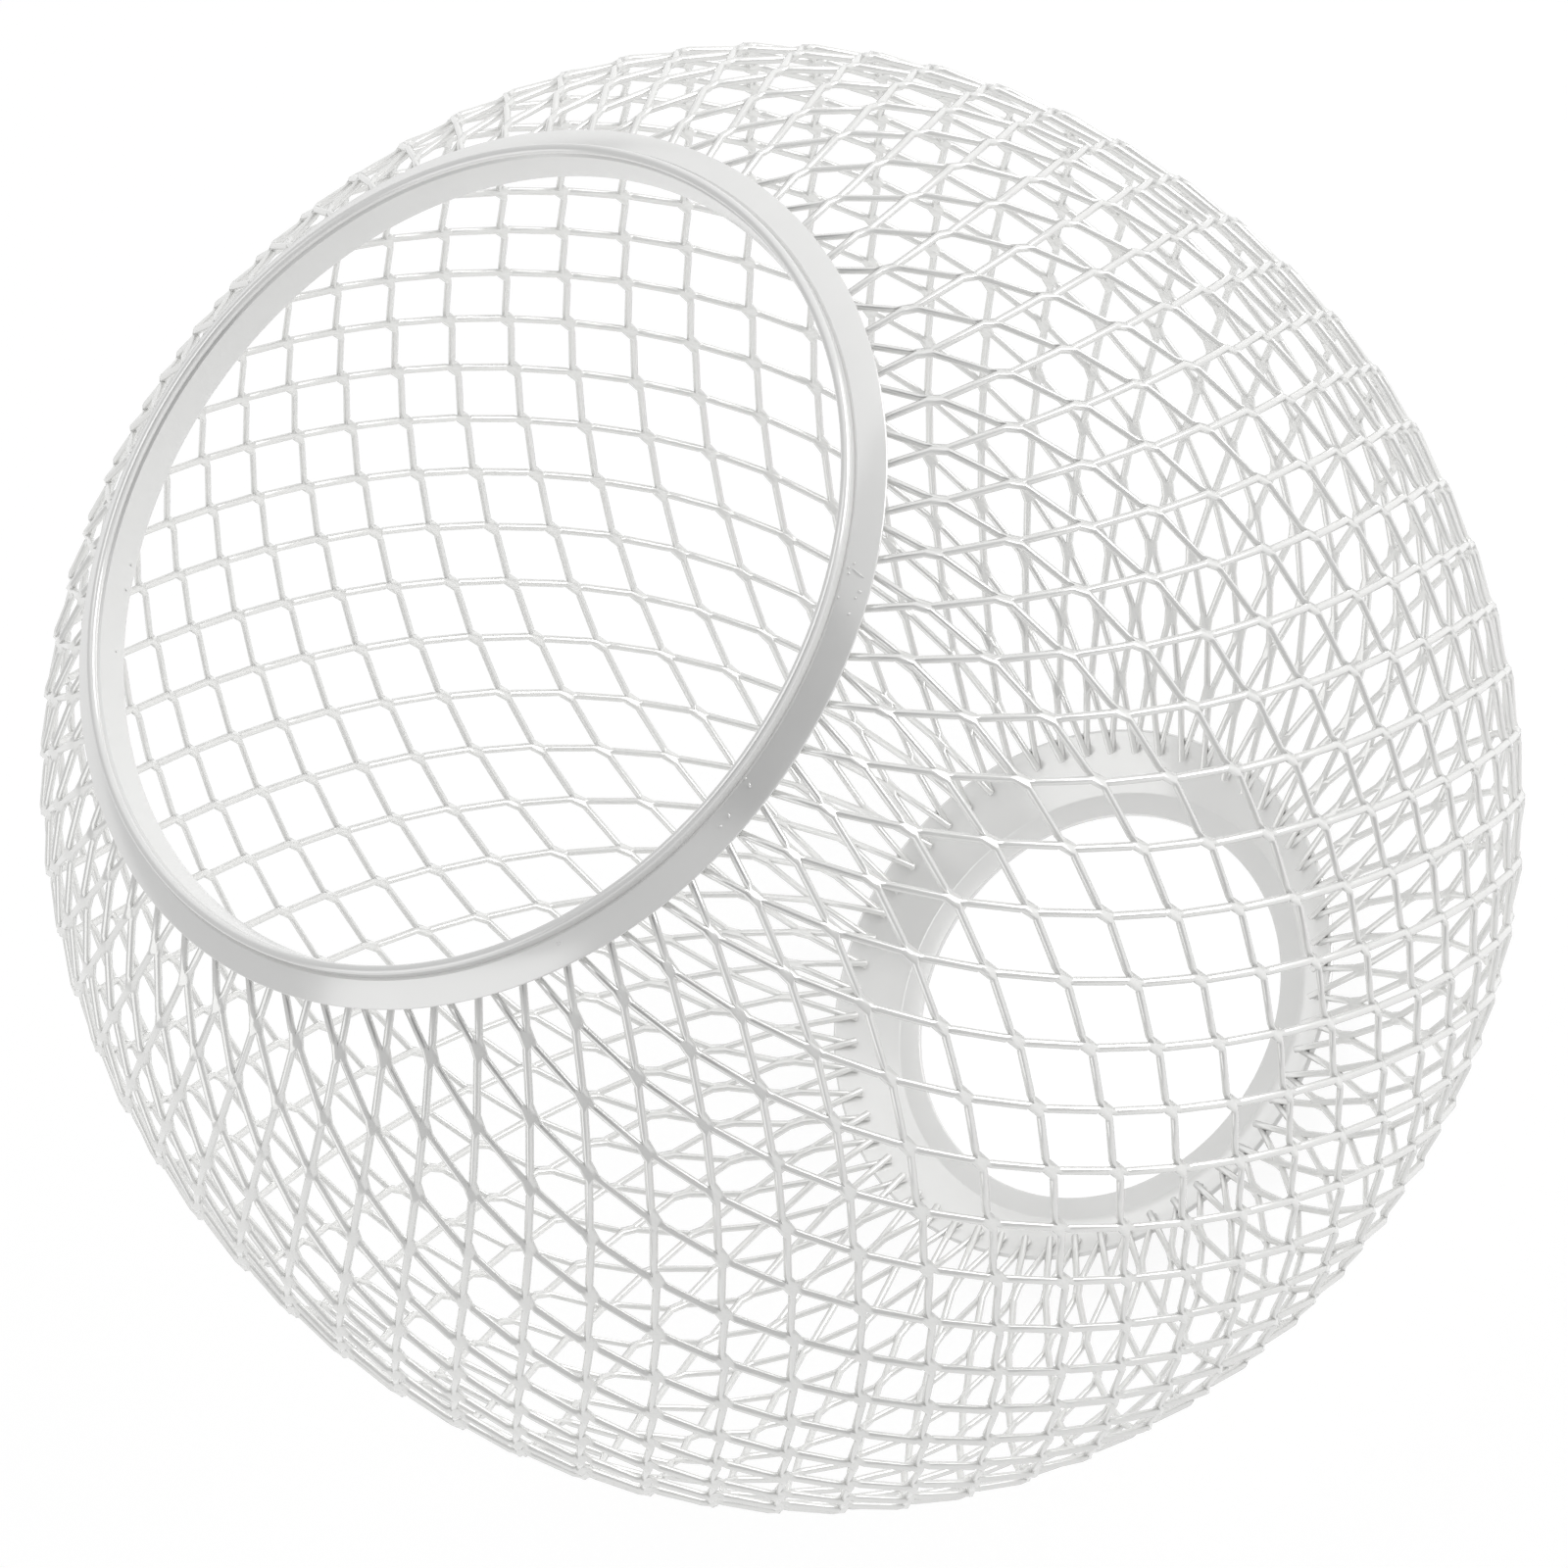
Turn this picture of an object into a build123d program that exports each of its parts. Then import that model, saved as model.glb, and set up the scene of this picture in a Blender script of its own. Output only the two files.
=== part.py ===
import os
from math import cos, degrees, pi, radians, sin

from build123d import *

# Expanded-metal globe lampshade: a slit and stretched sheet tube bulged into a ball,
# with a folded rim round its wide mouth and a coned ring round its neck hole.
# It stands on the neck ring, mouth up: Z is its axis and Z = 0 the ring's flat lip.

# Globe: its outside is a wide belt arc between two tighter shoulder arcs
globe_radius = 100.0
belt_arc_radius = 131.0
belt_arc_up = 16.0
belt_arc_down = 18.0
mouth_shoulder_radius = 82.4
mouth_shoulder_end = 57.0
neck_shoulder_radius = 73.8
neck_shoulder_end = 76.0
mesh_thickness = 1.0

# Lattice of the expanded metal, coarser than the real one, which has 58 by 22 knots
cells_around = 24
cell_rows = 5
strand_width = 3.2
bond_length = 10.0

# Rim of the mouth: a flange over the mesh, a rolled bead and an inner wall
sheet = 0.8
rim_flange_width = 5.3
rim_overhang = 0.3
rim_tuck = 3.0
bead_radius = 0.65
bead_height = 0.35
rim_wall_height = 5.4
rim_wall_lean = 12.0

# Neck ring: a flat lip round the hole and a cone that the strand ends lie on
neck_hole_radius = 30.2
neck_cone_rise = 6.6
neck_cone_angle = 41.0
neck_lap = 3.4


# A point at a distance from a start, in a direction given in degrees
def step(start, angle, distance):
    return (start[0] + distance * cos(radians(angle)), start[1] + distance * sin(radians(angle)))


# Height of the belt, which puts the lip's underside at Z = 0
belt_drop = (belt_arc_radius - neck_shoulder_radius) * sin(radians(belt_arc_down))
shoulder_drop = neck_shoulder_radius * sin(radians(neck_shoulder_end))
belt_height = sheet + neck_cone_rise + belt_drop + shoulder_drop

# Meridian of the globe's outside, as (radius, height), from the neck end to the mouth end
belt_centre = (globe_radius - belt_arc_radius, belt_height)
mouth_centre = step(belt_centre, belt_arc_up, belt_arc_radius - mouth_shoulder_radius)
neck_centre = step(belt_centre, -belt_arc_down, belt_arc_radius - neck_shoulder_radius)
flange_foot = step(mouth_centre, mouth_shoulder_end, mouth_shoulder_radius)
flange_rise = mouth_shoulder_end + 90
cone_top = step(neck_centre, -neck_shoulder_end, neck_shoulder_radius)


# Draws the meridian into the open line, the given distance inside the globe's outside
def meridian_run(inset):
    cone_end = step(neck_centre, -neck_shoulder_end, neck_shoulder_radius - inset)
    cone_start = step(step(cone_top, neck_cone_angle + 180, neck_lap), neck_cone_angle + 90, inset)
    flange_start = step(mouth_centre, mouth_shoulder_end, mouth_shoulder_radius - inset)
    Line(cone_start, cone_end)
    neck_swing = neck_shoulder_end - belt_arc_down
    mouth_swing = mouth_shoulder_end - belt_arc_up
    CenterArc(neck_centre, neck_shoulder_radius - inset, -neck_shoulder_end, neck_swing)
    CenterArc(belt_centre, belt_arc_radius - inset, -belt_arc_down, belt_arc_down + belt_arc_up)
    CenterArc(mouth_centre, mouth_shoulder_radius - inset, belt_arc_up, mouth_swing)
    Line(flange_start, step(flange_start, flange_rise, rim_tuck))


with BuildLine() as meridian:
    meridian_run(0)
outline = meridian.wires()[0]
outline_length = outline.length

# Rows of knots, as distances along the meridian: row 0 is at the rim, the last at the neck
first_row = outline_length - rim_tuck
row_pitch = (first_row - neck_lap) / (cell_rows + 1)
cell_angle = 2 * pi / cells_around
globe_centre = Vector(0, 0, belt_height)
notch_overrun = 6.0

# A cutter's two ends, as distances from the globe's centre on each side of the wall
cutter_reaches = (0.6 * globe_radius, 1.3 * globe_radius)


# A point of the meridian, carried on straight past its two ends
def meridian_point(distance):
    held = min(max(distance, 0.0), outline_length)
    point = outline.position_at(held, position_mode=PositionMode.LENGTH)
    tangent = outline.tangent_at(held, position_mode=PositionMode.LENGTH)
    return point + tangent * (distance - held)


# Corners of one opening, as (angle round the axis, distance along the meridian)
def opening_corners(row):
    middle = first_row - row * row_pitch
    side_radius = meridian_point(middle).X
    half_width = pi * side_radius / cells_around - strand_width
    rise = row_pitch - bond_length
    strand_run = (half_width**2 + rise**2) ** 0.5
    trim = strand_width / 2 * ((1 - rise / strand_run) * rise / half_width - half_width / strand_run)
    side = half_width / side_radius
    tip = row_pitch - bond_length / 2 + trim
    shoulder = bond_length / 2 + trim
    upper = [(0, middle + tip)]
    lower = [(0, middle - tip)]
    if row == 0:
        upper = [(side, outline_length + notch_overrun), (-side, outline_length + notch_overrun)]
        shoulder_up = rim_tuck
    else:
        shoulder_up = shoulder
    if row == cell_rows + 1:
        lower = [(-side, -notch_overrun), (side, -notch_overrun)]
        shoulder_down = neck_lap
    else:
        shoulder_down = shoulder
    left = [(-side, middle + shoulder_up), (-side, middle - shoulder_down)]
    right = [(side, middle - shoulder_down), (side, middle + shoulder_up)]
    return upper + left + lower + right


# Cutter of one opening: a wedge with its point at the globe's centre
def opening_cutter(row):
    corners = []
    for angle, distance in opening_corners(row):
        point = meridian_point(distance)
        corners.append(Vector(point.X * cos(angle), point.X * sin(angle), point.Y) - globe_centre)
    middle = meridian_point(first_row - row * row_pitch)
    outward = (Vector(middle.X, 0, middle.Y) - globe_centre).normalized()
    with BuildPart() as cutter:
        for reach in cutter_reaches:
            section = Plane(origin=globe_centre + outward * reach, x_dir=(0, 1, 0), z_dir=outward)
            spread = [globe_centre + ray * (reach / ray.dot(outward)) for ray in corners]
            spread = [section.to_local_coords(point) for point in spread]
            with BuildSketch(section):
                Polygon(*[(point.X, point.Y) for point in spread], align=None)
        loft()
    return cutter.part


cutters = [opening_cutter(row) for row in range(cell_rows + 2)]

# Globe of expanded metal: the turned wall, opened row by row
with BuildPart() as mesh_globe:
    with BuildSketch(Plane.XZ):
        with BuildLine():
            meridian_run(0)
            meridian_run(mesh_thickness)
            mesh_foot = step(cone_top, neck_cone_angle + 180, neck_lap)
            mesh_top = step(flange_foot, flange_rise, rim_tuck)
            Line(mesh_foot, step(mesh_foot, neck_cone_angle + 90, mesh_thickness))
            Line(mesh_top, step(mesh_top, flange_rise + 90, mesh_thickness))
        make_face()
    revolve(axis=Axis.Z)
    for row, cutter in enumerate(cutters):
        with PolarLocations(0, cells_around, start_angle=degrees(cell_angle) / 2 * (row % 2)):
            add(cutter, mode=Mode.SUBTRACT)
mesh_globe.part.label = "mesh_globe"

# Mouth rim: one folded ring, its flange lying on the globe's outside
flange_edge = step(flange_foot, flange_rise + 180, rim_overhang)
flange_end = step(flange_edge, flange_rise, rim_flange_width)
bead_centre = step(flange_end, mouth_shoulder_end, sheet + bead_height)
wall_top = step(bead_centre, 180 - rim_wall_lean, bead_radius)
wall_foot = step(wall_top, 270 - rim_wall_lean, rim_wall_height)
with BuildPart() as mouth_rim:
    with BuildSketch(Plane.XZ):
        with BuildLine():
            Polyline(
                flange_edge,
                flange_end,
                step(flange_end, mouth_shoulder_end, sheet),
                step(flange_edge, mouth_shoulder_end, sheet),
                close=True,
            )
        make_face()
        with BuildLine():
            Polyline(
                wall_top,
                wall_foot,
                step(wall_foot, -rim_wall_lean, sheet),
                step(wall_top, -rim_wall_lean, sheet),
                close=True,
            )
        make_face()
        with Locations(bead_centre):
            Circle(bead_radius)
    revolve(axis=Axis.Z)
mouth_rim.part.label = "mouth_rim"

# Neck ring: one dished ring, its cone under the strand ends
lip_bend = step(cone_top, neck_cone_angle + 180, neck_cone_rise / sin(radians(neck_cone_angle)))
with BuildPart() as neck_ring:
    with BuildSketch(Plane.XZ):
        with BuildLine():
            Polyline((neck_hole_radius, sheet), lip_bend, cone_top)
            offset(amount=sheet, side=Side.RIGHT, closed=True)
        make_face()
    revolve(axis=Axis.Z)
neck_ring.part.label = "neck_ring"

os.makedirs("parts", exist_ok=True)
export_step(mesh_globe.part, "parts/mesh_globe.step")
export_step(mouth_rim.part, "parts/mouth_rim.step")
export_step(neck_ring.part, "parts/neck_ring.step")
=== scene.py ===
from math import atan2, cos, degrees, hypot, pi, radians, sin, sqrt, tan

import bpy
from mathutils import Matrix, Vector


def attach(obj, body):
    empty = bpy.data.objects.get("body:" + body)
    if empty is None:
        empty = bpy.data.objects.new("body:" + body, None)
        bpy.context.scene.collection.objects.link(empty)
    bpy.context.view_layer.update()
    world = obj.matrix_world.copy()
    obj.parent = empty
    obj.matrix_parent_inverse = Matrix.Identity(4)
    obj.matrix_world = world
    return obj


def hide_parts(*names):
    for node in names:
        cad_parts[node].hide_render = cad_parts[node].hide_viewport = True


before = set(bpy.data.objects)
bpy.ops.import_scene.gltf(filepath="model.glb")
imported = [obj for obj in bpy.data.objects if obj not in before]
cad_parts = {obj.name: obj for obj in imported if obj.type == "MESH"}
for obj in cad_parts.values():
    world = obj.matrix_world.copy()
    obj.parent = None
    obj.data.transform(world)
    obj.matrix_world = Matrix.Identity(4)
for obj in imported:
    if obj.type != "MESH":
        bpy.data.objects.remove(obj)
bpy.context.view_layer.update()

mm = 0.001
print("frame loaded")


# sRGB hex to linear colour
def colour(hexText):
    channels = [int(hexText[i:i + 2], 16) / 255 for i in (1, 3, 5)]
    return tuple(c / 12.92 if c <= 0.04045 else ((c + 0.055) / 1.055) ** 2.4 for c in channels) + (1.0,)


# adds a node with its settings and its links
def addNode(tree, kind, settings=None, links=None):
    node = tree.nodes.new(kind)
    for key, value in (settings or {}).items():
        if key in node.inputs:
            node.inputs[key].default_value = value
        else:
            setattr(node, key, value)
    for key, socket in (links or {}).items():
        tree.links.new(socket, node.inputs[key])
    return node


def newMaterial(name):
    material = bpy.data.materials.new(name)
    material.use_nodes = True
    material.node_tree.nodes.clear()
    return material


def selectNothing():
    bpy.ops.object.select_all(action="DESELECT")


# clears what is selected inside the active mesh, before code selects anew
def clearElements(kind):
    bpy.ops.object.mode_set(mode="EDIT")
    bpy.ops.mesh.select_mode(type=kind)
    bpy.ops.mesh.select_all(action="DESELECT")
    bpy.ops.object.mode_set(mode="OBJECT")


def joinInto(first, others):
    selectNothing()
    for piece in [first] + others:
        piece.select_set(True)
    bpy.context.view_layer.objects.active = first
    bpy.ops.object.join()


# the globe's outside: a wide belt arc between two tighter shoulders, which meet it without a kink
globe = {
    "radius": 100.0,  # mm, as all lengths here
    "equatorHeight": 96.68,  # of the widest point over the neck ring's lip
    "beltArc": 131.0,
    "mouthSide": {"beltEnd": 16.0, "arc": 82.4, "arcEnd": 57.0},  # ends in degrees from the widest point
    "neckSide": {"beltEnd": 18.0, "arc": 73.8, "arcEnd": 76.0},
    "coneAngle": 41.0,
}


# (radius, height, slope) of the outside at a distance along it from the widest point: up is positive
def meridian(distance):
    side = globe["mouthSide"] if distance > 0 else globe["neckSide"]
    turn = 1 if distance > 0 else -1
    belt, arc = globe["beltArc"], side["arc"]
    beltRadius = globe["radius"] - belt
    beltAngle, endAngle = radians(side["beltEnd"]), radians(side["arcEnd"])
    run = abs(distance)
    if run <= belt * beltAngle:
        angle = turn * run / belt
        return beltRadius + belt * cos(angle), belt * sin(angle), angle + pi / 2
    run -= belt * beltAngle
    centreR = beltRadius + (belt - arc) * cos(beltAngle)
    centreZ = turn * (belt - arc) * sin(beltAngle)
    swing = beltAngle + run / arc
    if swing <= endAngle:
        return centreR + arc * cos(swing), centreZ + turn * arc * sin(swing), turn * swing + pi / 2
    run -= (endAngle - beltAngle) * arc
    slope = endAngle + pi / 2 if turn > 0 else radians(globe["coneAngle"])
    startR, startZ = centreR + arc * cos(endAngle), centreZ + turn * arc * sin(endAngle)
    return startR + turn * run * cos(slope), startZ + turn * run * sin(slope), slope


# distance along the outside from its widest point to the end of one shoulder
def shoulderDistance(side):
    onBelt = radians(side["beltEnd"]) * globe["beltArc"]
    return onBelt + radians(side["arcEnd"] - side["beltEnd"]) * side["arc"]


# expanded metal: slits that run down the globe, pulled open round it, which leans each strand one way
mesh = {
    "cellsRound": 58,
    "firstRow": -2,  # rows of knots are counted from the mouth to the neck
    "lastRow": 19,
    "anchorRow": 8,
    "anchorDistance": -4.16,  # mm along the outside from its widest point, as the two ends are
    "topEnd": 97.6,
    "neckEnd": -119.26,
    "strandLength": 8.53,  # mm between two bonds
    "bondLength": 2.3,  # where two strands are still one
    "strandWidth": 0.94,
    "depth": 0.86,  # the sheet's thickness
    "edgeRound": 0.2,
    "bend": 0.75,  # strand widths from a bond to the bend of its strand
    "lean": 36.0,  # degrees out of the globe's surface
    "phase": 257.24,  # degrees round to a knot of the even rows
    "twistPerMm": 0.0075,  # degrees round for each mm up
    "smoothAngle": 60.0,
}


# distance along the outside of each row of knots: each step is a bond and a strand's rise
def rowDistances():
    firstGuess, rounds = 0.7, 4  # a rise as a share of the strand, and how often it is worked out anew
    rows = {mesh["anchorRow"]: mesh["anchorDistance"]}
    for towards in (-1, 1):
        row = mesh["anchorRow"]
        while mesh["firstRow"] - 1 <= row + towards <= mesh["lastRow"] + 1:
            step = mesh["bondLength"] + mesh["strandLength"] * firstGuess
            for attempt in range(rounds):
                middle = meridian(rows[row] - towards * step / 2)[0]
                spread = pi * middle / mesh["cellsRound"]
                step = mesh["bondLength"] + sqrt(mesh["strandLength"] ** 2 - spread ** 2)
            rows[row + towards] = rows[row] - towards * step
            row += towards
    return rows


# a knot's strands as far as they are its own: (across, rise) of each, and the rise to the next knot
def knotArms(rows, row):
    arms = {}
    here = rows[row]
    for end in (-1, 1):
        there = rows[row - end]
        middle = meridian((here + there) / 2)[0]
        rise = abs(there - here) - mesh["bondLength"]
        across = pi * middle / mesh["cellsRound"] - mesh["strandWidth"] * cos(radians(mesh["lean"]))
        share = 0.5
        if end == 1 and row == mesh["firstRow"]:
            share = (mesh["topEnd"] - here - mesh["bondLength"] / 2) / rise
        if end == -1 and row == mesh["lastRow"]:
            share = (here - mesh["neckEnd"] - mesh["bondLength"] / 2) / rise
        arms[end] = (across * share, rise * share, rise)
    return arms


# one knot, drawn flat: a double bar with four half strands, in the width that the lean leaves them
def drawKnot(arms):
    width, bond = mesh["strandWidth"] * cos(radians(mesh["lean"])) * mm, mesh["bondLength"] * mm
    near = 1e-6
    selectNothing()
    bpy.ops.mesh.primitive_grid_add(x_subdivisions=2, y_subdivisions=1, size=1, location=(0, 0, 0))
    knot = bpy.context.object
    knot.name = "knot"
    knot.scale = (2 * width, bond, 1)
    bpy.ops.object.transform_apply(location=False, rotation=False, scale=True)
    for side in (-1, 1):
        for end in (-1, 1):
            across, rise = arms[end][0] * mm, arms[end][1] * mm
            run, splay = hypot(across, rise), atan2(across, rise)
            clearElements("VERT")
            for vertex in knot.data.vertices:
                onSide = -near < vertex.co.x * side < width + near
                vertex.select = onSide and abs(vertex.co.y - end * bond / 2) < near
            bpy.ops.object.mode_set(mode="EDIT")
            bpy.ops.mesh.select_mode(type="EDGE")
            along = Vector((side * sin(splay), end * cos(splay), 0))
            toBend = mesh["bend"] * width
            bend = Vector((side * width / 2, end * bond / 2, 0)) + along * toBend
            bpy.ops.mesh.extrude_region_move(TRANSFORM_OT_translate={"value": along * toBend})
            bpy.ops.transform.rotate(value=side * end * splay, orient_axis="Z", center_override=bend)
            bpy.ops.mesh.extrude_region_move(TRANSFORM_OT_translate={"value": along * (run - toBend)})
            bpy.ops.object.mode_set(mode="OBJECT")
    return knot


# leans a flat knot like a louvre blade: each strand climbs from its low side to the next knot's high one
def leanKnot(knot, arms):
    lean, width, bond = radians(mesh["lean"]), mesh["strandWidth"], mesh["bondLength"]
    onBond = 0.01
    for vertex in knot.data.vertices:
        across, along, lift = vertex.co / mm
        centre, climb = 0, 0
        past = abs(along) - bond / 2
        if past > onBond:
            armAcross, armRise, wholeRise = arms[1 if along > 0 else -1]
            side = 1 if across > 0 else -1
            centre = side * (width * cos(lean) / 2 + armAcross * past / armRise)
            climb = side * width * sin(lean) / 2 * (2 * past / wholeRise - 1)
        lift = climb - (across - centre) * tan(lean) - width * sin(lean)
        vertex.co = Vector((across + mesh["depth"] * sin(lean) / 2, along, lift)) * mm


# lays a knot on the globe: x runs round it, y along its meridian, z out of it
def layOnGlobe(knot, distance, turn):
    for vertex in knot.data.vertices:
        across, along, lift = vertex.co / mm
        radius, height, slope = meridian(distance + along)
        twist = mesh["twistPerMm"] * (distance + along - mesh["anchorDistance"])
        angle = radians(turn + twist) + across / radius
        radius += lift * sin(slope)
        height -= lift * cos(slope)
        vertex.co = Vector((radius * cos(angle), radius * sin(angle), height + globe["equatorHeight"])) * mm


# takes out the join half way along each strand, where two knots met, as no bend is there: it is
# an edge with four others at its ends, all of them long
def clearMiddles(net):
    clearElements("EDGE")
    longEdge = mesh["strandLength"] / 4 * mm
    vertices, edges = net.data.vertices, net.data.edges
    lengths = [(vertices[edge.vertices[0]].co - vertices[edge.vertices[1]].co).length for edge in edges]
    meeting = [[] for vertex in vertices]
    for edge in edges:
        for corner in edge.vertices:
            meeting[corner].append(edge.index)
    for edge in edges:
        beside = [other for corner in edge.vertices for other in meeting[corner] if other != edge.index]
        edge.select = len(beside) == 4 and min(lengths[other] for other in beside) > longEdge
    bpy.ops.object.mode_set(mode="EDIT")
    bpy.ops.mesh.dissolve_edges(use_verts=True)
    bpy.ops.object.mode_set(mode="OBJECT")


# copies a column of knots round the globe's axis and closes the seams between them
def repeatRound(net):
    copies = mesh["cellsRound"] - 1
    bpy.ops.object.mode_set(mode="EDIT")
    bpy.ops.mesh.select_all(action="SELECT")
    bpy.ops.mesh.spin(steps=copies, dupli=True, angle=2 * pi * copies / mesh["cellsRound"],
                      center=(0, 0, 0), axis=(0, 0, 1))
    bpy.ops.mesh.select_all(action="SELECT")
    bpy.ops.mesh.remove_doubles(threshold=0.05 * mm)
    bpy.ops.object.mode_set(mode="OBJECT")


def makeMesh():
    rows = rowDistances()
    column = []
    for row in range(mesh["firstRow"], mesh["lastRow"] + 1):
        arms = knotArms(rows, row)
        knot = drawKnot(arms)
        leanKnot(knot, arms)
        layOnGlobe(knot, rows[row], mesh["phase"] + (row % 2) * 180 / mesh["cellsRound"])
        column.append(knot)
    joinInto(column[0], column[1:])
    net = bpy.context.object
    net.name = "expandedMesh"
    repeatRound(net)
    clearMiddles(net)
    wall = net.modifiers.new("depth", "SOLIDIFY")
    wall.thickness = mesh["depth"] * mm
    wall.offset = -1
    bpy.ops.object.modifier_apply(modifier="depth")
    corner = net.modifiers.new("edge", "BEVEL")
    corner.width = mesh["edgeRound"] * mm
    corner.segments = 1
    corner.limit_method = "ANGLE"
    corner.angle_limit = radians(mesh["smoothAngle"])
    bpy.ops.object.modifier_apply(modifier="edge")
    bpy.ops.object.shade_smooth_by_angle(angle=radians(mesh["smoothAngle"]))
    return net


expandedMesh = makeMesh()
print("mesh:", len(expandedMesh.data.polygons), "faces",
      sum(len(p.vertices) - 2 for p in expandedMesh.data.polygons), "triangles")


# a ring: its section is drawn by extruding one point, closed, and spun round the axis
def spinRing(name, section, steps):
    selectNothing()
    bpy.ops.mesh.primitive_plane_add(size=1, location=(0, 0, 0))
    ring = bpy.context.object
    ring.name = name
    bpy.ops.object.mode_set(mode="EDIT")
    bpy.ops.mesh.select_mode(type="VERT")
    bpy.ops.mesh.select_all(action="SELECT")
    bpy.ops.mesh.merge(type="CENTER")
    bpy.ops.mesh.select_all(action="SELECT")
    place = [Vector((r * mm, 0, z * mm)) for r, z in section]
    bpy.ops.transform.translate(value=place[0])
    for last, point in zip(place, place[1:]):
        bpy.ops.mesh.extrude_vertices_move(TRANSFORM_OT_translate={"value": point - last})
    clearElements("VERT")
    ring.data.vertices[0].select = True
    ring.data.vertices[len(place) - 1].select = True
    bpy.ops.object.mode_set(mode="EDIT")
    bpy.ops.mesh.edge_face_add()
    bpy.ops.mesh.select_all(action="SELECT")
    bpy.ops.mesh.spin(steps=steps, angle=2 * pi, center=(0, 0, 0), axis=(0, 0, 1))
    bpy.ops.mesh.select_all(action="SELECT")
    bpy.ops.mesh.remove_doubles(threshold=0.005 * mm)
    bpy.ops.mesh.normals_make_consistent(inside=False)
    bpy.ops.object.mode_set(mode="OBJECT")
    bpy.ops.object.shade_smooth_by_angle(angle=radians(35))
    return ring


# points of a section are (radius, height) in mm, and directions are degrees up from outwards
def stepBy(start, angle, distance):
    return start[0] + distance * cos(radians(angle)), start[1] + distance * sin(radians(angle))


def arcPoints(centre, radius, start, end, count):
    return [stepBy(centre, start + (end - start) * i / count, radius) for i in range(count + 1)]


# a rounded corner of a section, from the side that faces start to the side a quarter turn on
def roundCorner(corner, start, turn, radius, count=3):
    centre = stepBy(stepBy(corner, start, -radius), start + turn, -radius)
    return arcPoints(centre, radius, start, start + turn, count)


# the mouth's rim: a flange over the mesh ends, a rolled bead between two grooves and an inner wall
rim = {
    "sheet": 0.8,
    "flange": 5.3,
    "overhang": 0.3,  # of the flange's edge below the end of the globe's shoulder
    "beadRadius": 0.65,
    "beadHeight": 0.35,  # of the bead's middle over the flange's face
    "beadFrom": -75.0,  # degrees off the way the flange faces, where the bead leaves its groove
    "beadTo": 195.0,  # degrees up from outwards, where it meets the inner wall
    "beadSteps": 12,
    "wallHeight": 5.4,
    "wallLean": 12.0,
    "edgeRadius": 0.2,
    "groove": 0.3,
    "grooveInset": 1.15,  # from the flange's end to the outer groove
    "foldUnder": 0.6,  # from the flange's end to the start of the fold's straight inside
    "foldDown": 1.9,  # from the wall's top to the end of it
    "steps": 232,
}

# nicks and drips in the rim's coat: (degrees round, mm in from the edge or down from the wall's top,
# length, width, degrees off the rim's run)
rimMarks = {
    "height": 0.2,
    "flange": [(-63.4, 2.1, 2.0, 0.22, 62), (-62.3, 2.8, 0.4, 0.3, 0), (-63.0, 3.4, 0.35, 0.3, 0),
               (-63.7, 3.2, 0.4, 0.3, 40), (-65.6, 1.3, 0.5, 0.3, 70), (-67.0, 3.7, 0.35, 0.3, 0),
               (-66.5, 1.6, 0.35, 0.25, 30), (-68.6, 1.8, 0.4, 0.3, 0), (-92.7, 2.8, 0.7, 0.35, 50),
               (-92.3, 3.7, 0.35, 0.3, 0), (-97.1, 2.4, 0.7, 0.3, 60), (-98.7, 2.3, 0.4, 0.35, 20),
               (-123.9, 3.0, 0.5, 0.4, 0)],
    "wall": [(118.7, 4.4, 0.4, 0.3, 0), (122.4, 4.4, 0.5, 0.3, 45), (131.8, 3.8, 0.35, 0.3, 0)],
}


# one mark: a flat grain sunk to its middle in a face of the ring that rises at the given angle
def addMark(ring, place, rise, turn, length, width, swing):
    angle, lift = radians(turn), radians(rise)
    along = Vector((-sin(angle), cos(angle), 0))
    across = Vector((cos(lift) * cos(angle), cos(lift) * sin(angle), sin(lift)))
    axes = Matrix((along, across, along.cross(across))).transposed().to_4x4()
    size = Matrix.Diagonal((length / 2 * mm, width / 2 * mm, rimMarks["height"] * mm, 1))
    middle = Vector((place[0] * cos(angle), place[0] * sin(angle), place[1])) * mm
    selectNothing()
    bpy.ops.mesh.primitive_uv_sphere_add(segments=10, ring_count=6, radius=1, location=(0, 0, 0))
    mark = bpy.context.object
    mark.matrix_world = Matrix.Translation(middle) @ axes @ Matrix.Rotation(radians(swing), 4, "Z") @ size
    bpy.ops.object.transform_apply()
    bpy.ops.object.shade_smooth()
    joinInto(ring, [mark])


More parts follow.
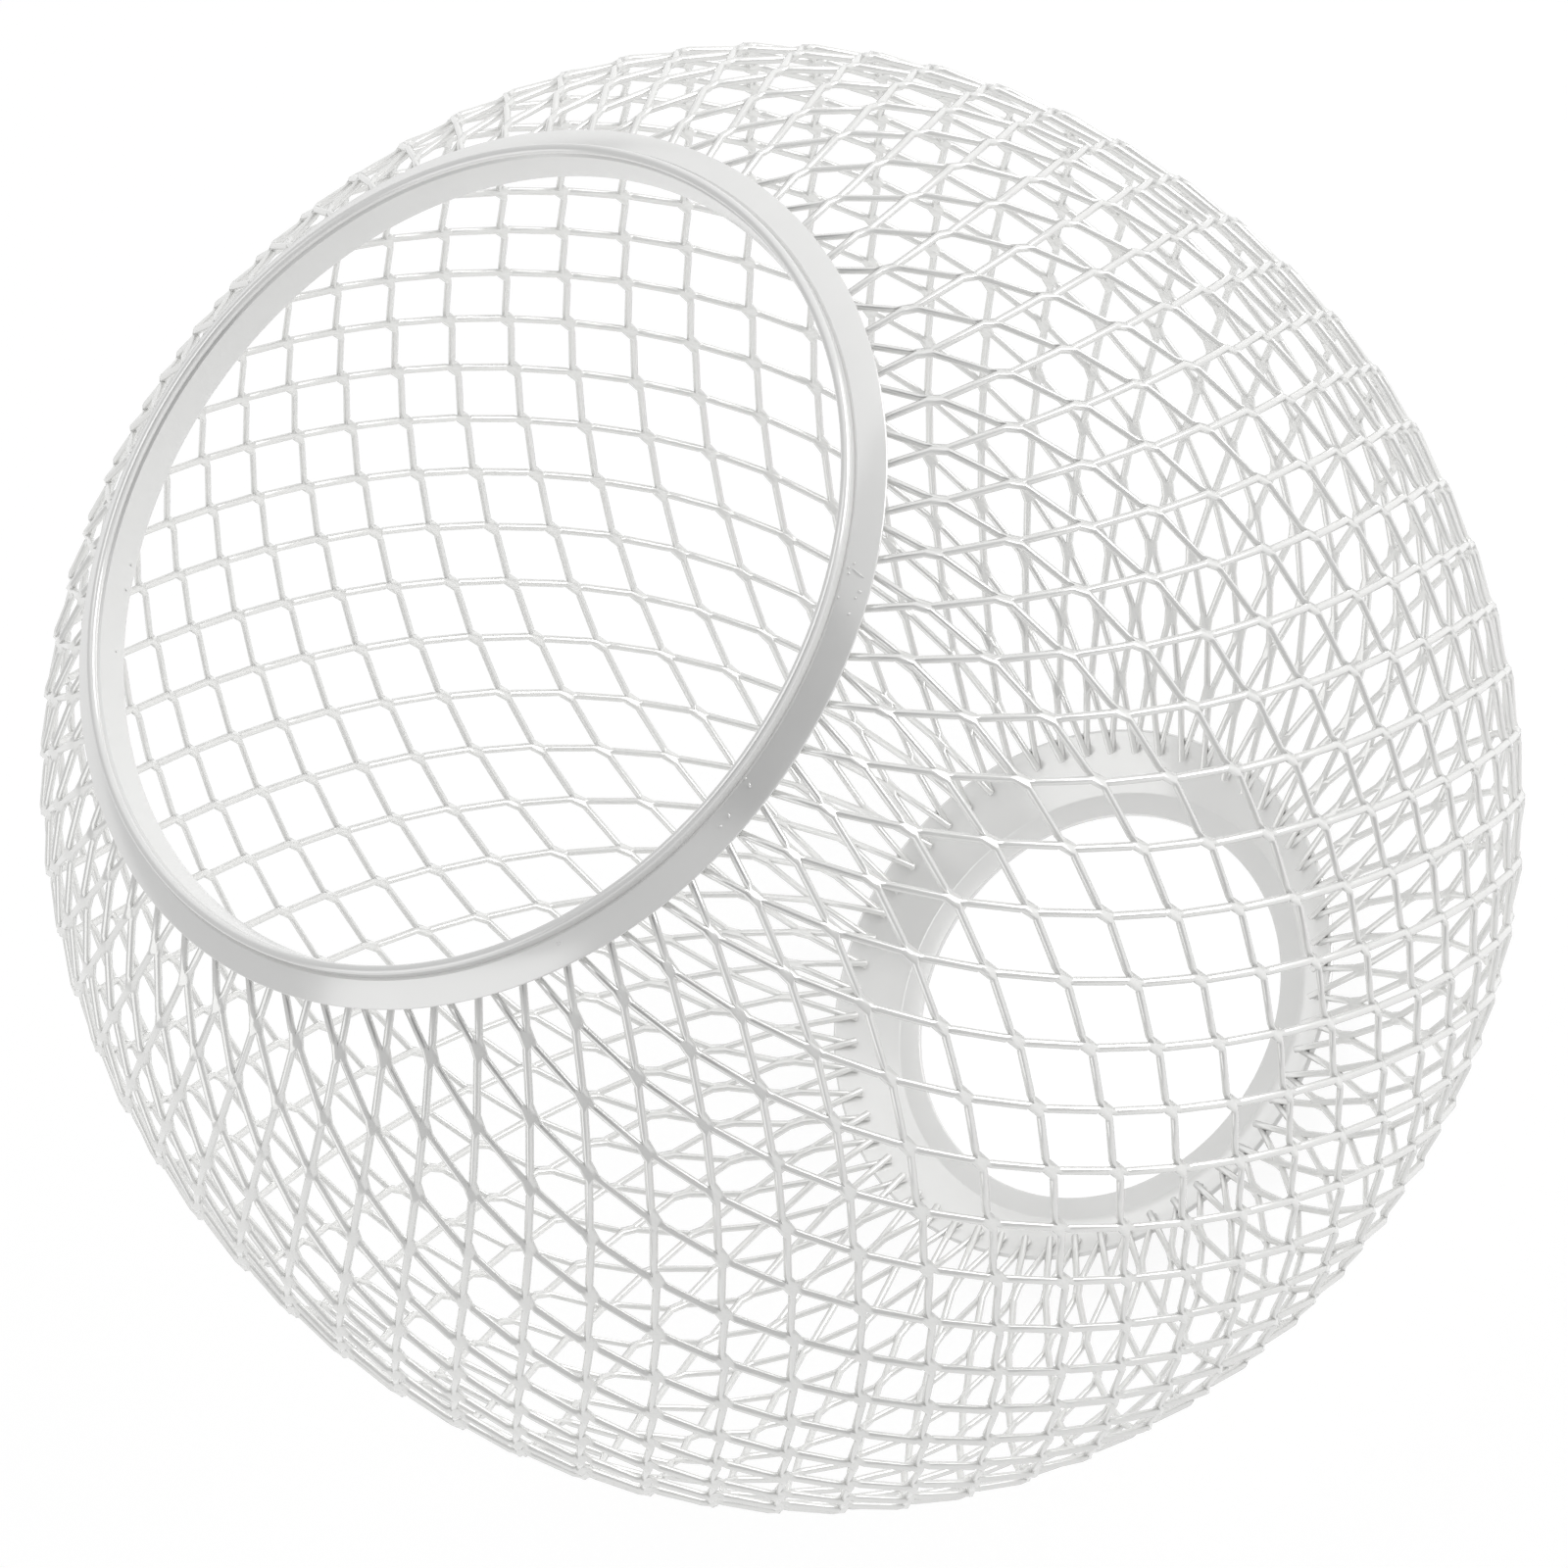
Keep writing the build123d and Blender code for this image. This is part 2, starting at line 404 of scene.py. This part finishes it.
def makeRim():
    footR, footZ, slope = meridian(shoulderDistance(globe["mouthSide"]))
    rise, out, down = degrees(slope), degrees(slope) - 90, 270 - rim["wallLean"]
    foot = (footR, footZ + globe["equatorHeight"])
    edge = stepBy(foot, rise + 180, rim["overhang"])
    end = stepBy(edge, rise, rim["flange"])
    bead = stepBy(end, out, rim["sheet"] + rim["beadHeight"])
    top = stepBy(bead, 180 - rim["wallLean"], rim["beadRadius"])
    wallFoot = stepBy(top, down, rim["wallHeight"])
    flangeTop = stepBy(edge, out, rim["sheet"])
    outerFoot = stepBy(wallFoot, down + 90, rim["sheet"])
    outerGroove = stepBy(flangeTop, rise, rim["flange"] - rim["grooveInset"])
    innerGroove = stepBy(top, down, rim["beadRadius"])
    edgeRadius, groove = rim["edgeRadius"], rim["groove"]
    section = [stepBy(edge, rise, rim["flange"] - rim["foldUnder"])]
    section += roundCorner(edge, out - 180, 90, edgeRadius)
    section += roundCorner(flangeTop, out - 90, 90, edgeRadius)
    section += [stepBy(outerGroove, rise + 180, groove), stepBy(outerGroove, out + 180, groove)]
    section += arcPoints(bead, rim["beadRadius"], out + rim["beadFrom"], rim["beadTo"], rim["beadSteps"])
    section += [stepBy(innerGroove, down + 90, groove), stepBy(innerGroove, down, groove)]
    section += roundCorner(wallFoot, down - 90, 90, edgeRadius)
    section += roundCorner(outerFoot, down, 90, edgeRadius)
    section.append(stepBy(outerFoot, down + 180, rim["wallHeight"] - rim["foldDown"]))
    ring = spinRing("mouthRim", section, rim["steps"])
    for turn, reach, length, width, swing in rimMarks["flange"]:
        addMark(ring, stepBy(flangeTop, rise, reach), rise, turn, length, width, swing)
    for turn, reach, length, width, swing in rimMarks["wall"]:
        addMark(ring, stepBy(top, down, reach), down, turn, length, width, swing)
    return ring


# the neck ring: a flat lip, a bend and a cone that the strand ends lie on
neck = {
    "sheet": 0.8,
    "hole": 30.2,
    "coneRise": 6.6,
    "bendRadius": 0.5,
    "bendSteps": 4,
    "edgeRadius": 0.2,
    "steps": 200,
}


def makeNeckRing():
    topR, topZ, slope = meridian(-shoulderDistance(globe["neckSide"]))
    top = (topR, topZ + globe["equatorHeight"])
    angle, sheet, hole = globe["coneAngle"], neck["sheet"], neck["hole"]
    edgeRadius, bendRadius = neck["edgeRadius"], neck["bendRadius"]
    corner = stepBy(top, angle + 180, neck["coneRise"] / sin(radians(angle)))
    bend = (corner[0] - bendRadius * tan(radians(angle / 2)), sheet + bendRadius)
    section = roundCorner((hole, sheet), 180, -90, edgeRadius)
    section += arcPoints(bend, bendRadius, 270, 270 + angle, neck["bendSteps"])
    section += roundCorner(top, angle + 90, -90, edgeRadius)
    section += roundCorner(stepBy(top, angle - 90, sheet), angle, -90, edgeRadius)
    section += arcPoints(bend, bendRadius + sheet, 270 + angle, 270, neck["bendSteps"])
    section += roundCorner((hole, 0), 270, -90, edgeRadius)
    return spinRing("neckRing", section, neck["steps"])


mouthRim = makeRim()
neckRing = makeNeckRing()
print("rings:", len(mouthRim.data.polygons), len(neckRing.data.polygons), "faces")


# white powder coat with a little fine metal flake, sprayed dry and baked on steel: the eye sees
# a satin white skin with a faint orange peel, grey where it faces something dark
def powderCoat(name, look):
    material = newMaterial(name)
    tree = material.node_tree
    where = addNode(tree, "ShaderNodeTexCoord").outputs["Object"]
    cloud = addNode(tree, "ShaderNodeTexNoise", {"Scale": 1000 / look["cloudMm"], "Detail": 3.0},
                    {"Vector": where}).outputs["Fac"]
    peel = addNode(tree, "ShaderNodeTexNoise", {"Scale": 1000 / look["peelMm"], "Detail": 2.0},
                   {"Vector": where}).outputs["Fac"]
    tone = addNode(tree, "ShaderNodeMix", {"data_type": "RGBA"}, {"Factor": cloud})
    tone.inputs["A"].default_value = colour(look["lowTone"])
    tone.inputs["B"].default_value = colour(look["highTone"])
    bump = addNode(tree, "ShaderNodeBump",
                   {"Strength": look["peelStrength"], "Distance": look["peelDepthMm"] * mm}, {"Height": peel})
    rough = addNode(tree, "ShaderNodeMapRange", {"From Min": 0.3, "From Max": 0.7, "To Min": look["roughLow"],
                                                 "To Max": look["roughHigh"]}, {"Value": cloud})
    paint = addNode(tree, "ShaderNodeBsdfPrincipled", {"IOR": 1.5, "Metallic": look["flake"]},
                    {"Base Color": tone.outputs["Result"], "Roughness": rough.outputs["Result"],
                     "Normal": bump.outputs["Normal"]})
    addNode(tree, "ShaderNodeOutputMaterial", None, {"Surface": paint.outputs["BSDF"]})
    return material


# the clouds are slight changes of the coat's thickness, and the peel is its waves
meshCoatLook = {"flake": 0.45, "cloudMm": 6.0, "peelMm": 0.5, "peelStrength": 0.06, "peelDepthMm": 0.03,
                "lowTone": "#ebebea", "highTone": "#f2f2f0", "roughLow": 0.14, "roughHigh": 0.2}
ringCoatLook = {"flake": 0.3, "cloudMm": 9.0, "peelMm": 0.7, "peelStrength": 0.1, "peelDepthMm": 0.03,
                "lowTone": "#e8e8e7", "highTone": "#eeeeed", "roughLow": 0.17, "roughHigh": 0.21}

meshCoat = powderCoat("powderCoatedExpandedSteel", meshCoatLook)
ringCoat = powderCoat("powderCoatedRingSteel", ringCoatLook)
for piece, coat, slotName, node in ((expandedMesh, meshCoat, "mesh_coat", "mesh_globe"),
                                    (mouthRim, ringCoat, "ring_coat", "mouth_rim"),
                                    (neckRing, ringCoat, "ring_coat", "neck_ring")):
    piece.data.materials.clear()
    piece.data.materials.append(coat)
    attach(piece, "root")
    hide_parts(node)
print("coats on, pieces ride on the frame")


# a pale floor that the camera sees as white, with some of the shade's own shadow kept in it
floorLook = {"size": 6.0, "colour": "#f4f4f4", "shadowShare": 0.2, "white": 1.07}


def makeFloor():
    selectNothing()
    bpy.ops.mesh.primitive_plane_add(size=floorLook["size"], location=(0, 0, 0))
    floor = bpy.context.object
    floor.name = "floor"
    material = newMaterial("paleMattBoard")
    tree = material.node_tree
    rays = addNode(tree, "ShaderNodeLightPath").outputs
    board = addNode(tree, "ShaderNodeBsdfDiffuse", {"Color": colour(floorLook["colour"])})
    white = addNode(tree, "ShaderNodeEmission", {"Strength": floorLook["white"]})
    seen = addNode(tree, "ShaderNodeMath", {"operation": "MAXIMUM"})
    tree.links.new(rays["Is Camera Ray"], seen.inputs[0])
    tree.links.new(rays["Is Glossy Ray"], seen.inputs[1])
    share = addNode(tree, "ShaderNodeMath", {"operation": "MULTIPLY"}, {0: seen.outputs[0]})
    share.inputs[1].default_value = 1 - floorLook["shadowShare"]
    mix = addNode(tree, "ShaderNodeMixShader")
    tree.links.new(share.outputs[0], mix.inputs[0])
    tree.links.new(board.outputs[0], mix.inputs[1])
    tree.links.new(white.outputs[0], mix.inputs[2])
    addNode(tree, "ShaderNodeOutputMaterial", None, {"Surface": mix.outputs[0]})
    floor.data.materials.append(material)


makeFloor()

# the photograph's camera, fitted to the lattice: far off, with a long lens and rolled
camera = {
    "lens": 163.51,
    "sensor": 36.0,
    "distance": 987.92,
    "tilt": 36.713,
    "roll": 35.276,
    "offsetRight": 0.064,
    "offsetUp": 0.155,
    "nearest": 0.01,  # m, as the farthest is
    "farthest": 50.0,
}


def makeCamera():
    tilt, roll = radians(camera["tilt"]), radians(camera["roll"])
    right = Vector((sin(roll), -cos(tilt) * cos(roll), -sin(tilt) * cos(roll)))
    up = Vector((cos(roll), cos(tilt) * sin(roll), sin(tilt) * sin(roll)))
    back = Vector((0, -sin(tilt), cos(tilt)))
    place = back * camera["distance"] - right * camera["offsetRight"] - up * camera["offsetUp"]
    place += Vector((0, 0, globe["equatorHeight"]))
    data = bpy.data.cameras.new("camera")
    data.lens = camera["lens"]
    data.sensor_width = camera["sensor"]
    data.clip_start = camera["nearest"]
    data.clip_end = camera["farthest"]
    eye = bpy.data.objects.new("camera", data)
    turn = Matrix((right, up, back)).transposed()
    eye.matrix_world = Matrix.Translation(place * mm) @ turn.to_4x4()
    bpy.context.scene.collection.objects.link(eye)
    bpy.context.scene.camera = eye
    return right, up, back


right, up, back = makeCamera()
globeMiddle = Vector((0, 0, globe["equatorHeight"] * mm))
print("floor and camera set")


# a place in metres from the globe's middle, by the camera's own sides
def fromMiddle(toRight, toUp, toBack):
    return globeMiddle + right * toRight + up * toUp + back * toBack


def aimed(place, direction):
    return Matrix.Translation(place) @ direction.to_track_quat("Z", "Y").to_matrix().to_4x4()


# the dark card round the lens, which the rim and the neck ring mirror where they face the camera
darkCard = {"size": 0.56, "distance": 0.9, "up": 0.2, "right": -0.05, "colour": "#101010"}


def makeCard():
    selectNothing()
    bpy.ops.mesh.primitive_plane_add(size=darkCard["size"], location=(0, 0, 0))
    card = bpy.context.object
    card.name = "darkCard"
    card.matrix_world = aimed(fromMiddle(darkCard["right"], darkCard["up"], darkCard["distance"]), -back)
    material = newMaterial("blackFeltCard")
    felt = addNode(material.node_tree, "ShaderNodeBsdfDiffuse", {"Color": colour(darkCard["colour"])})
    addNode(material.node_tree, "ShaderNodeOutputMaterial", None, {"Surface": felt.outputs[0]})
    card.data.materials.append(material)
    card.visible_camera = False


makeCard()

# soft studio light: softboxes as (name, right, up, back, size, power), a weak lamp in the globe's middle,
# which lifts the far mesh and mirrors in nothing, and the even light of the room
studio = {
    "softboxes": [("keySoftbox", 1.1, 1.0, 0.6, 0.9, 10.5), ("overheadSoftbox", -0.74, 0.68, 1.11, 0.8, 2.6),
                  ("topSoftbox", -0.1, 1.45, 0.3, 1.7, 3.6), ("lowSoftbox", -1.0, -0.9, 0.6, 1.1, 3.4)],
    "insideRadius": 0.025,
    "insidePower": 0.075,
    "room": 0.54,
}


def addLamp(name, kind, power, matrix):
    lamp = bpy.data.objects.new(name, bpy.data.lights.new(name, kind))
    lamp.data.energy = power
    lamp.matrix_world = matrix
    lamp.visible_camera = False
    bpy.context.scene.collection.objects.link(lamp)
    return lamp


def makeLamps():
    for name, toRight, toUp, toBack, size, power in studio["softboxes"]:
        place = fromMiddle(toRight, toUp, toBack)
        softbox = addLamp(name, "AREA", power, aimed(place, place - globeMiddle))
        softbox.data.shape = "SQUARE"
        softbox.data.size = size
    inside = addLamp("insideLamp", "POINT", studio["insidePower"], Matrix.Translation(globeMiddle))
    inside.data.shadow_soft_size = studio["insideRadius"]
    inside.visible_glossy = False


# an even room that lights the shade gently, while the camera sees white behind it
def makeRoom():
    world = bpy.data.worlds.new("studio")
    world.use_nodes = True
    tree = world.node_tree
    tree.nodes.clear()
    rays = addNode(tree, "ShaderNodeLightPath").outputs
    dim = addNode(tree, "ShaderNodeBackground", {"Color": (1, 1, 1, 1), "Strength": studio["room"]})
    white = addNode(tree, "ShaderNodeBackground", {"Color": (1, 1, 1, 1), "Strength": 1.0})
    mix = addNode(tree, "ShaderNodeMixShader")
    tree.links.new(rays["Is Camera Ray"], mix.inputs[0])
    tree.links.new(dim.outputs[0], mix.inputs[1])
    tree.links.new(white.outputs[0], mix.inputs[2])
    addNode(tree, "ShaderNodeOutputWorld", None, {"Surface": mix.outputs[0]})
    bpy.context.scene.world = world


makeLamps()
makeRoom()
bpy.context.scene.view_settings.view_transform = "Standard"
print("lights set")
